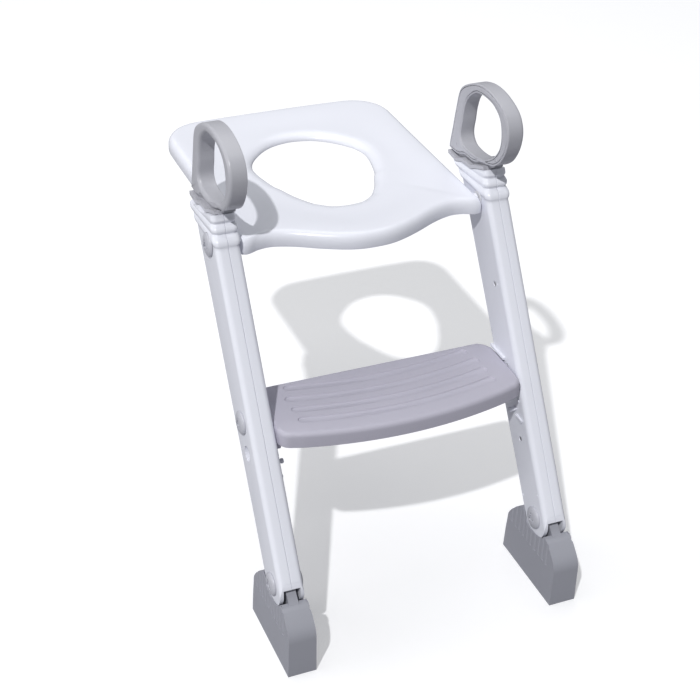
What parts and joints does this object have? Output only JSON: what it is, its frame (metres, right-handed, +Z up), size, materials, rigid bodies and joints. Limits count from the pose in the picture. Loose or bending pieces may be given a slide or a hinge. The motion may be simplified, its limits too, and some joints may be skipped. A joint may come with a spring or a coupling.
{
  "type": "toilet ladder seat",
  "caption": "child's potty training seat on a folding two-rail ladder, with oval hole, looped hand grips, a hinged step and swivelling feet",
  "frame": {"origin": "bottom centre of the overall box, on the floor under the middle of the part", "axes": "+X to the right hand of someone standing on the step facing the toilet, +Y towards the toilet's cistern, +Z up"},
  "size_m": [0.387, 0.5946, 0.5804],
  "materials": {
    "white_gloss": "smooth glossy white moulded plastic with a cool tint",
    "grip_grey": "satin mid-grey moulded plastic",
    "cap_grey": "satin mid-grey snap caps",
    "foot_grey": "satin grey moulded plastic with fine ribs on the sides",
    "step_lilac": "matt lavender-grey plastic with fine grain and recessed grip grooves",
    "rubber": "dark matt rubber pads",
    "steel": "zinc-plated screws, bolts and pins",
    "washer": "pale nylon washer"
  },
  "bodies": {
    "seat": {"seat_shell": "white_gloss", "seat_pad_front_right": "rubber", "seat_pad_front_left": "rubber", "seat_pad_rear_right": "rubber", "seat_pad_rear_left": "rubber"},
    "ladder": {"rail_outer_right": "white_gloss", "rail_outer_left": "white_gloss", "rail_inner_right": "white_gloss", "rail_inner_left": "white_gloss", "grip_body_right": "grip_grey", "grip_body_left": "grip_grey", "grip_cover_right": "grip_grey", "grip_cover_left": "grip_grey", "grip_plug_1_right": "grip_grey", "grip_plug_1_left": "grip_grey", "grip_plug_2_right": "grip_grey", "grip_plug_2_left": "grip_grey", "grip_plug_3_right": "grip_grey", "grip_plug_3_left": "grip_grey", "grip_plug_4_right": "grip_grey", "grip_plug_4_left": "grip_grey", "hinge_cap_right": "cap_grey", "hinge_cap_left": "cap_grey", "step_cap_right": "cap_grey", "step_cap_left": "cap_grey", "foot_cap_outer_right": "cap_grey", "foot_cap_outer_left": "cap_grey", "foot_cap_inner_right": "cap_grey", "foot_cap_inner_left": "cap_grey", "hinge_bolt_right": "steel", "hinge_bolt_left": "steel", "step_bolt_right": "steel", "step_bolt_left": "steel", "foot_pin_right": "steel", "foot_pin_left": "steel", "rail_screw_1_right": "steel", "rail_screw_1_left": "steel", "rail_screw_2_right": "steel", "rail_screw_2_left": "steel", "hinge_washer_right": "washer", "hinge_washer_left": "washer", "stop_peg_right": "white_gloss", "stop_peg_left": "white_gloss"},
    "step": {"step_tread": "step_lilac", "step_base": "step_lilac"},
    "foot_right_body": {"foot_right": "foot_grey", "foot_sole_right": "rubber"},
    "foot_left_body": {"foot_left": "foot_grey", "foot_sole_left": "rubber"}
  },
  "joints": [
    {"name": "ladder_fold", "type": "hinge", "parent": "seat", "child": "ladder", "pos_m": [0, -0.02286, 0.43767], "axis": [1, 0, 0], "range_deg": [0, 95]},
    {"name": "step_fold", "type": "hinge", "parent": "ladder", "child": "step", "pos_m": [0, -0.13298, 0.25767], "axis": [-1, 0, 0], "range_deg": [0, 100]},
    {"name": "foot_tilt_right", "type": "hinge", "parent": "ladder", "child": "foot_right_body", "pos_m": [0.1742, -0.23525, 0.094], "axis": [1, 0, 0], "range_deg": [-12, 12]},
    {"name": "foot_tilt_left", "type": "hinge", "parent": "ladder", "child": "foot_left_body", "pos_m": [-0.1742, -0.23525, 0.094], "axis": [1, 0, 0], "range_deg": [-12, 12]}
  ]
}
